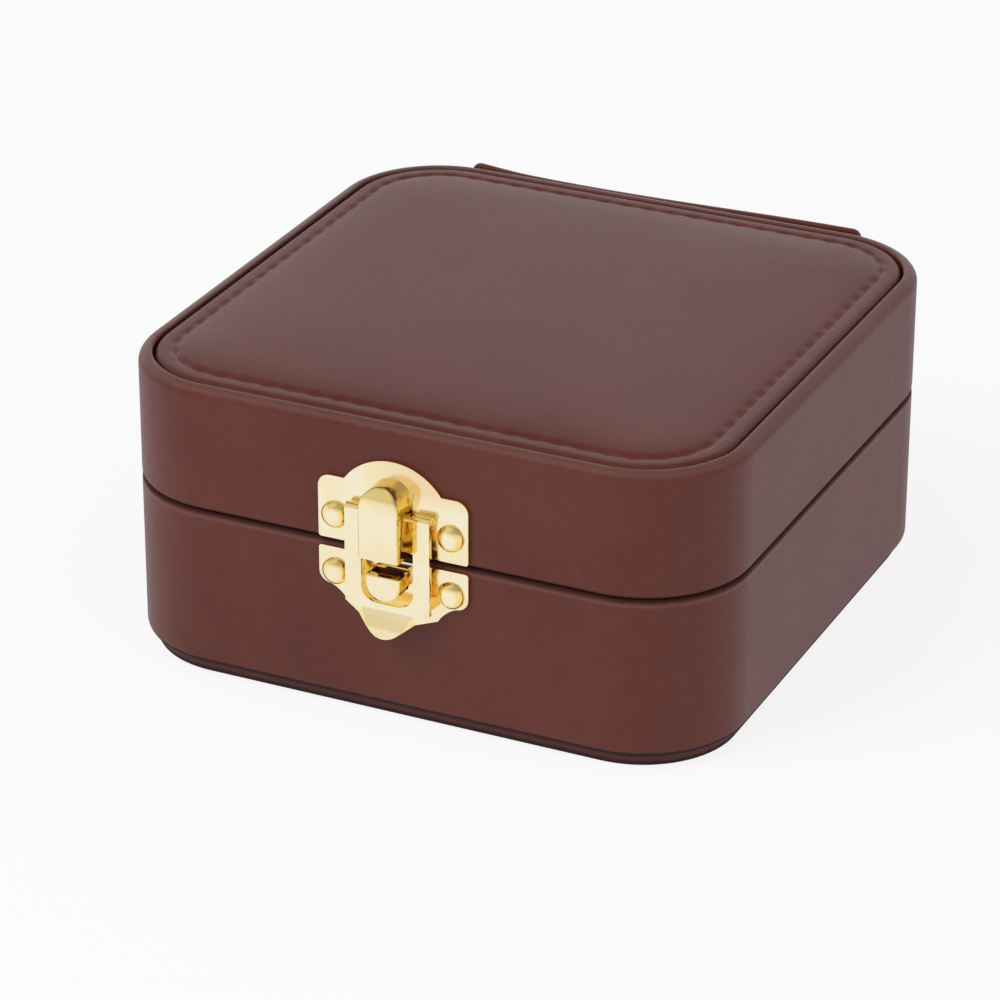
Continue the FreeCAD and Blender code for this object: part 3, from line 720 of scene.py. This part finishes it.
def stitching():
    """Loops of thread in the valley, each with its ends drawn into the leather."""
    stitch = begin(
        bpy.ops.mesh.primitive_cylinder_add,
        "panel_stitches",
        vertices=8,
        radius=THREAD_RADIUS,
        depth=2 * THREAD_REACH,
        rotation=(0, math.radians(90), 0),
    )
    for share in THREAD_CUTS:
        cut(stitch, (share * STITCH_STEP, 0, 0), (1, 0, 0))

    def arched(place):
        share = abs(place.x) / THREAD_REACH
        thin = 1 - THREAD_TAPER * share**4
        return Vector((place.x, place.y * thin, place.z * thin - THREAD_DIVE * share**3))

    reshape(stitch, arched)
    row = []
    for number in range(4 * SIDE_STITCHES):
        # a stitch lies between two places where the leather is drawn down
        along = (number + 0.5) * STITCH_STEP
        side, rest = divmod(along + STITCH_SIDE / 2, STITCH_SIDE)
        share = (rest - STITCH_SIDE / 2) / (STITCH_SIDE / 2)
        nudged = share * (1 - 2 * NUDGE) + NUDGE
        point = on_rounded_square(STITCH_HALF, STITCH_CORNER, int(side) % 4, share)
        nearby = on_rounded_square(STITCH_HALF, STITCH_CORNER, int(side) % 4, nudged)
        heading = (nearby - point).to_2d()
        copy = twin(stitch)
        copy.rotation_euler.z = math.atan2(heading.y, heading.x)
        copy.location = (point.x, point.y, PANEL_BORDER - THREAD_SINK)
        bpy.ops.object.transform_apply(location=True, rotation=True, scale=True)
        row.append(copy)
    bpy.data.objects.remove(stitch)
    stitches = join(row)
    stitches.name = "panel_stitches"
    smooth(stitches, 60)
    finished(stitches, "lid", THREAD, "brown_leatherette")


padded_panel()
stitching()


# ---------------------------------------------------------------- hinge strip

STRIP_THICK = 1.0 * MM
STRIP_CORNER = 1.5 * MM
STRIP_EDGE = 0.3 * MM
STRIP_COLUMN = 3 * MM
STRIP_CUTS = (16 * MM, 22 * MM, 34 * MM, 39 * MM, 44 * MM, 46 * MM)
BEND_HALF = 0.8 * MM
BEND_CUTS = 4
PRESS_DEPTH = 0.28 * MM
PRESS_WIDTH = 0.45 * MM
WORN_FROM = 42 * MM
WAVE_RISE = 0.36 * MM
WAVE_DROP = 0.45 * MM
WAVE_LOW = -12 * MM
WAVE_REACH = 46 * MM
END_LIFT = 0.35 * MM
END_WIDTH = 6 * MM


def hinge_strip():
    """The leather strip that joins lid and base: one piece, pressed in along its crease."""
    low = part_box("hinge_strip_base")[0]
    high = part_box("hinge_strip_lid")[1]
    strip = begin(
        bpy.ops.mesh.primitive_plane_add, "hinge_strip", size=1, rotation=(math.radians(90), 0, 0)
    )
    middle, tall = (low.z + high.z) / 2, high.z - low.z
    reshape(strip, lambda p: Vector((p.x * 2 * high.x, low.y, middle + p.z * tall)))
    select_whole(strip)
    bpy.ops.mesh.bevel(offset=STRIP_CORNER, segments=5, affect="VERTICES")
    leave()
    columns = int(high.x / STRIP_COLUMN)
    for step in range(-columns, columns + 1):
        cut(strip, (step * STRIP_COLUMN, 0, 0), (1, 0, 0))
    for step in range(-BEND_CUTS, BEND_CUTS + 1):
        cut(strip, (0, 0, CREASE + step * BEND_HALF / BEND_CUTS), (0, 0, 1))
    for height in STRIP_CUTS:
        cut(strip, (0, 0, height), (0, 0, 1))
    modify(strip, "SOLIDIFY", thickness=STRIP_THICK, offset=-1)
    face_outwards(strip)
    modify(strip, "BEVEL", width=STRIP_EDGE, segments=3, limit_method="ANGLE", angle_limit=1.0)

    def worn(place):
        """The upper edge was cut by hand, one end has lifted, and the bend is pressed in."""
        share = max((place.z - WORN_FROM) / (high.z - WORN_FROM), 0)
        wave = WAVE_RISE * (1 - math.cos(math.pi * (place.x - WAVE_LOW) / WAVE_REACH)) - WAVE_DROP
        lift = END_LIFT * math.exp(-(((place.x - low.x) / END_WIDTH) ** 2))
        place.z += (wave + lift) * share
        place.y += lift * share**2
        if place.y > low.y + STRIP_THICK / 2:
            off = (place.z - CREASE) / PRESS_WIDTH
            place.y -= PRESS_DEPTH * math.exp(-off * off)
        return place

    reshape(strip, worn)
    smooth(strip, 50)
    strip.data.materials.append(LEATHER)
    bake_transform(strip)
    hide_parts("hinge_strip_base", "hinge_strip_lid")


hinge_strip()


# ---------------------------------------------------------------- velvet rolls and lid pad

ROLL_SWELL = 0.45 * MM
ROLL_SIDE_ROOM = 0.15 * MM
ROLL_ROUND = 0.46
ROLL_END = 1.6 * MM
ROLL_GRAIN = 1.15 * MM
ROLL_HELD = 1.0 * MM
CAVITY_CORNER = CORNER - 3.95 * MM
CAVITY_STRAIGHT = HALF - CORNER


def cufflink_rolls():
    """One velvet-covered foam roll, swollen as cloth, and four copies beside it."""
    low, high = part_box("cufflink_roll_3")
    roll = begin(bpy.ops.mesh.primitive_cube_add, "cufflink_roll", size=1)
    middle = (low + high) / 2
    room = high - low - 2 * Vector((ROLL_SIDE_ROOM, ROLL_SWELL, ROLL_SWELL / 2))

    def long_upper(first, second):
        return abs(first.x - second.x) > room.x / 2 and min(first.z, second.z) > middle.z

    def at_an_end(first, second):
        return abs(first.x - second.x) < room.x / 2

    reshape(roll, lambda p: Vector((p.x * room.x, p.y * room.y, p.z * room.z)) + middle)
    select(roll, "EDGE", long_upper)
    bpy.ops.mesh.bevel(offset=room.y * ROLL_ROUND, segments=10, affect="EDGES")
    leave()
    select(roll, "EDGE", at_an_end)
    bpy.ops.mesh.bevel(offset=ROLL_END, segments=3, affect="EDGES")
    leave()
    modify(roll, "REMESH", mode="VOXEL", voxel_size=ROLL_GRAIN)
    modify(roll, "SMOOTH", factor=0.5, iterations=3)
    floor = middle.z - room.z / 2 + ROLL_HELD
    soften(roll, lambda place: place.z < floor, ROLL_SWELL)
    modify(roll, "SUBSURF", levels=1, render_levels=1)
    for number in range(1, 6):
        node = f"cufflink_roll_{number}"
        copy = named(twin(roll), f"velvet_roll_{number}")
        along = (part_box(node)[0].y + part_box(node)[1].y) / 2 - middle.y

        def seated(place):
            """Moves the roll to its row, and squeezes its ends into the cavity's round corners."""
            x, y = place.x, place.y + along
            past = -y - CAVITY_STRAIGHT
            over = abs(x) - CAVITY_STRAIGHT
            if past > 0 and over > 0:
                reach = math.sqrt(max(CAVITY_CORNER**2 - past**2, 0))
                x = math.copysign(CAVITY_STRAIGHT + over * reach / CAVITY_CORNER, x)
            return Vector((x, y, place.z))

        reshape(copy, seated)
        smooth(copy, 60)
        finished(copy, "base", VELVET, "velvet", node)
    bpy.data.objects.remove(roll)


cufflink_rolls()

PAD_HALF = 47.4 * MM
PAD_CORNER = 14.2 * MM
PAD_RINGS = 36
PAD_EDGE = 0.9 * MM
PAD_FLAT = 1.2 * MM
PAD_FALL = 2.6 * MM
PAD_HELD = 1.6 * MM
PAD_SIDE = 0.8 * MM
PAD_SWELL = 0.35 * MM


def pad_inset(place):
    return inset_of(place, PAD_HALF, PAD_CORNER)


def lid_cushion():
    """The velvet pad that closes the lid from below, held all round by the lining's edge."""
    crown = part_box("lid_pad")[0].z + PAD_SWELL

    def pad_height(inset):
        return crown + PAD_EDGE * math.exp(-max(inset - PAD_FLAT, 0) / PAD_FALL)

    pad = rounded_sheet("lid_cushion", PAD_HALF, PAD_CORNER, PAD_RINGS, pad_height)
    select_whole(pad)
    bpy.ops.mesh.flip_normals()
    leave()
    soften(pad, lambda place: pad_inset(place) < PAD_HELD, PAD_SWELL)
    modify(pad, "SUBSURF", levels=1, render_levels=1)
    select(pad, "VERT", lambda place: pad_inset(place) < OUTER_EDGE)
    bpy.ops.mesh.select_mode(type="EDGE")
    bpy.ops.mesh.extrude_region_move(TRANSFORM_OT_translate={"value": (0, 0, PAD_SIDE)})
    leave()
    select(pad, "VERT", lambda place: place.z > crown + PAD_EDGE + PAD_SIDE - 0.1 * MM)
    bpy.ops.mesh.select_mode(type="EDGE")
    bpy.ops.mesh.edge_face_add()
    leave()
    face_outwards(pad)
    smooth(pad, 50)
    finished(pad, "lid", VELVET, "velvet", "lid_pad")


lid_cushion()


# ---------------------------------------------------------------- stamped gold latch

STAMPED_EDGE = 0.2 * MM
STAMPED_STEPS = 3
WELD = 0.001 * MM
FLAT_WITHIN = math.radians(1.5)
SHEARED_OVER = math.radians(50)
CLOSE = 0.05 * MM


def stamped(node, name, edge=STAMPED_EDGE):
    """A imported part's own shape with its flats merged and its sheared edges rubbed round."""
    piece = named(twin(nodes[node]), name)
    piece.parent = None
    select_whole(piece)
    bpy.ops.mesh.remove_doubles(threshold=WELD)
    bpy.ops.mesh.dissolve_limited(angle_limit=FLAT_WITHIN)
    leave()
    bpy.ops.mesh.customdata_custom_splitnormals_clear()
    modify(
        piece,
        "BEVEL",
        width=edge,
        segments=STAMPED_STEPS,
        limit_method="ANGLE",
        angle_limit=SHEARED_OVER,
    )
    return piece


def upper_plate():
    """The lid's plate with the folded tongue that carries the hasp."""
    plate = stamped("latch_upper_plate", "latch_upper_plate_stamped")
    finished(plate, "lid", GOLD, "gold_plate", "latch_upper_plate")
    smooth(plate, 26)


CATCH_DROP = 1.3 * MM
CATCH_HALF = 2.6 * MM
CATCH_WALL = 0.6 * MM
CATCH_DEPTH = 2.6 * MM
CATCH_FRONT = -HALF - 1.5 * MM
POCKET_BACK = -HALF - 1.25 * MM
BACK_WITHIN = 0.35 * MM


def lower_plate():
    """The base's plate with its catch, an open pocket that shows the leather behind it."""
    plate = stamped("latch_lower_plate", "latch_lower_plate_stamped")
    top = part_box("latch_lower_plate")[1].z - CATCH_DROP

    def is_catch_top(centre, normal):
        return normal.z > 0.9 and abs(centre.z - top) < CLOSE and centre.y < CATCH_FRONT

    def is_pocket(centre, normal):
        bottom = abs(centre.z - (top - CATCH_DEPTH)) < CLOSE and normal.z > 0.9
        back = normal.y < -0.9 and abs(centre.y - POCKET_BACK) < BACK_WITHIN
        return abs(centre.x) < CATCH_HALF and (bottom or back and centre.z < top)

    select(plate, "FACE", is_catch_top)
    bpy.ops.mesh.inset(thickness=CATCH_WALL)
    bpy.ops.mesh.extrude_region_move(TRANSFORM_OT_translate={"value": (0, 0, -CATCH_DEPTH)})
    leave()
    finished(plate, "base", GOLD, "gold_plate", "latch_lower_plate")
    plate.data.materials.append(LEATHER)
    for face in plate.data.polygons:
        if is_pocket(face.center, face.normal):
            face.material_index = 1
    smooth(plate, 35)


HASP_EDGE = 0.18 * MM
FOLD = 19.8 * MM
FLARE_START = 21.7 * MM
LIP_FLARE = 1.7 * MM
LIP_SLOPE = 0.49
LIP_HALF = 4.3 * MM
LIP_TAPER = 0.55
SIDE_SLOPE = 0.45


def swinging_hasp():
    """The hasp: its lip is a pressed facet that turns out, with the sides bent back a little."""
    hasp = stamped("hasp", "hasp_stamped", HASP_EDGE)
    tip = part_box("hasp")[0].z

    def folded(place):
        if place.z < FLARE_START:
            along = (FLARE_START - place.z) / (FLARE_START - tip)
            place.y += LIP_FLARE * along * along
        if place.z < FOLD:
            drop = FOLD - place.z
            beside = max(abs(place.x) - (LIP_HALF - LIP_TAPER * drop), 0)
            place.y -= max(drop * LIP_SLOPE - beside * SIDE_SLOPE, 0)
        return place

    cut(hasp, (0, 0, FOLD), (0, 0, 1))
    for side in (-1, 1):
        corner = (side * LIP_HALF, 0, FOLD)
        cut(hasp, corner, (side, 0, -LIP_TAPER))
        cut(hasp, corner, (side, 0, LIP_SLOPE / SIDE_SLOPE - LIP_TAPER))
    reshape(hasp, folded)
    finished(hasp, "hasp", GOLD, "gold_plate", "hasp")
    smooth(hasp, 24.5)


PLATE_THICK = 0.6 * MM
DOME_RISE = 1.35 * MM
DOME_RADIUS = 2.2 * MM
SHANK_RADIUS = 0.7 * MM
SHANK_LENGTH = 2.3 * MM
PIN_SPREAD = 9.6 * MM


def fixing_pins(name, body, node):
    """Two domed pins; the shank is drawn out from the flat behind the dome."""
    low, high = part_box(node)
    pin = begin(
        bpy.ops.mesh.primitive_uv_sphere_add,
        name,
        segments=48,
        ring_count=24,
        radius=DOME_RADIUS,
        rotation=(math.radians(90), 0, 0),
    )
    select_whole(pin)
    bpy.ops.mesh.bisect(plane_co=(0, 0, 0), plane_no=(0, 1, 0), clear_outer=True, use_fill=True)
    leave()
    rise = DOME_RISE / DOME_RADIUS
    reshape(pin, lambda place: Vector((place.x, place.y * rise, place.z)))
    select(pin, "FACE", lambda centre, normal: normal.y > 0.9)
    bpy.ops.mesh.inset(thickness=DOME_RADIUS - SHANK_RADIUS)
    bpy.ops.mesh.extrude_region_move(TRANSFORM_OT_translate={"value": (0, SHANK_LENGTH, 0)})
    leave()
    other = twin(pin)
    for piece, across in ((pin, -PIN_SPREAD), (other, PIN_SPREAD)):
        seat = Vector((across, -HALF - PLATE_THICK, (low.z + high.z) / 2))
        reshape(piece, lambda place: place + seat)
    pins = join([pin, other])
    finished(pins, body, GOLD, "gold_plate", node)
    smooth(pins, 35)


upper_plate()
lower_plate()
swinging_hasp()
fixing_pins("upper_domed_pins", "lid", "upper_fixing_pins")
fixing_pins("lower_domed_pins", "base", "lower_fixing_pins")


# ---------------------------------------------------------------- floor, light and camera

WHITE = (1, 1, 1, 1)
FLOOR_SIZE = 6
FLOOR_PATCH = 0.4
FLOOR_DROP = 0.05 * MM
FLOOR_GREY = (0.82, 0.82, 0.82, 1)
FLOOR_WHITE = (0.86, 0.86, 0.86, 1)
FLOOR_COOL = (0.93, 0.96, 1.0, 1)
FLOOR_GLOW = 0.85
LAMP_AIM = Vector((0, 0, 0.02))
SKY_COOL = (0.94, 0.965, 1.0, 1)
SKY_GLOW = 0.95
BACKDROP_WAY = (-0.42, 0.90, 0.12)
BACKDROP_GLOW = 1.3
DIM_WAY = (-0.27, 0.58, 0.77)
WINDOW_WAY = (-0.38, -0.44, 0.81)
LENS = 155.87
CAMERA_PLACE = (0.25788, -0.56441, 0.31812)
CAMERA_TURN = math.radians(25.067)
CAMERA_RISE = math.radians(26.028)
CAMERA_ROLL = math.radians(0.136)


def studio_floor():
    """A pale floor that shows white, and keeps the box's soft shadow."""
    bpy.ops.object.select_all(action="DESELECT")
    bpy.ops.mesh.primitive_plane_add(size=FLOOR_SIZE, location=(0, 0, -FLOOR_DROP))
    floor = bpy.context.object
    floor.name = "studio_floor"
    finish = Finish("studio_floor_finish", Roughness=0.9, Specular_IOR_Level=0.0)
    finish.feed("Base Color", finish.mix(finish.noise(FLOOR_PATCH, 2.0), FLOOR_GREY, FLOOR_WHITE))
    direct = finish.node("ShaderNodeLightPath", out="Is Camera Ray")
    seen = direct.most(direct.beside("Is Glossy Ray")).most(direct.beside("Is Transmission Ray"))
    tint = finish.mix(direct, FLOOR_COOL, WHITE)
    glow = finish.node("ShaderNodeEmission", None, {"Color": tint, "Strength": 1.0})
    lit = Wire(finish, finish.shader.outputs[0])
    blend = finish.node("ShaderNodeMixShader", None, {0: seen * FLOOR_GLOW, 1: lit, 2: glow})
    below = finish.node("ShaderNodeNewGeometry", out="Backfacing")
    clear = finish.node("ShaderNodeBsdfTransparent")
    both = finish.node("ShaderNodeMixShader", None, {0: below, 1: blend, 2: clear})
    finish.tree.links.new(both.socket, finish.tree.nodes["Material Output"].inputs["Surface"])
    floor.data.materials.append(finish.material)


def lamp(name, place, width, power):
    """A soft square lamp turned towards the box, which doesn't show in the gold."""
    data = bpy.data.lights.new(name, "AREA")
    data.shape = "SQUARE"
    data.size = width
    data.energy = power
    light = bpy.data.objects.new(name, data)
    bpy.context.scene.collection.objects.link(light)
    light.location = place
    light.rotation_euler = (LAMP_AIM - Vector(place)).to_track_quat("-Z", "Y").to_euler()
    light.visible_glossy = False


def studio_sky():
    """A white backdrop behind the box, and a dimmer ceiling, front and sides round it."""
    # a finish's helpers, turned to the world's own nodes
    sky = Finish("studio_sky_rules")
    world = bpy.data.worlds.new("studio_sky")
    bpy.context.scene.world = world
    world.use_nodes = True
    sky.tree = world.node_tree
    ground = sky.tree.nodes["Background"]
    place = sky.node("ShaderNodeTexCoord", out="Generated")

    def towards(way):
        """How nearly a direction points this way, 1 at most."""
        settings = {"operation": "DOT_PRODUCT"}
        return sky.node("ShaderNodeVectorMath", settings, {0: place, 1: way}, "Value")

    ceiling = SKY_GLOW - sky.axis(2, place).step(0.1, 0.75) * 0.5
    ceiling = ceiling - towards(DIM_WAY).step(0.78, 0.97) * 0.36
    ceiling = ceiling + towards(WINDOW_WAY).step(0.84, 0.97) * 0.3
    backdrop = towards(BACKDROP_WAY).step(0.72, 0.985)
    bright = ceiling + backdrop * (BACKDROP_GLOW - ceiling)
    direct = sky.node("ShaderNodeLightPath", out="Is Camera Ray")
    shown = bright + direct * (1 - bright)
    sky.tree.links.new(shown.socket, ground.inputs["Strength"])
    sky.tree.links.new(sky.mix(direct, SKY_COOL, WHITE).socket, ground.inputs["Color"])
    bpy.data.materials.remove(sky.material)


def studio_camera():
    """A long lens on the box, from its front and right and a little above."""
    data = bpy.data.cameras.new("studio_camera")
    data.sensor_width = 36
    data.lens = LENS
    data.clip_start = 0.01
    camera = bpy.data.objects.new("studio_camera", data)
    bpy.context.scene.collection.objects.link(camera)
    camera.location = CAMERA_PLACE
    level = Euler((math.pi / 2 - CAMERA_RISE, 0, CAMERA_TURN)).to_matrix()
    camera.rotation_euler = (level @ Matrix.Rotation(CAMERA_ROLL, 3, "Z")).to_euler()
    bpy.context.scene.camera = camera


studio_floor()
lamp("key_lamp", (-0.55, -0.75, 0.95), width=0.7, power=8.5)
lamp("fill_lamp", (0.9, -0.25, 0.55), width=0.6, power=2.0)
studio_sky()
studio_camera()
bpy.context.scene.view_settings.view_transform = "Standard"
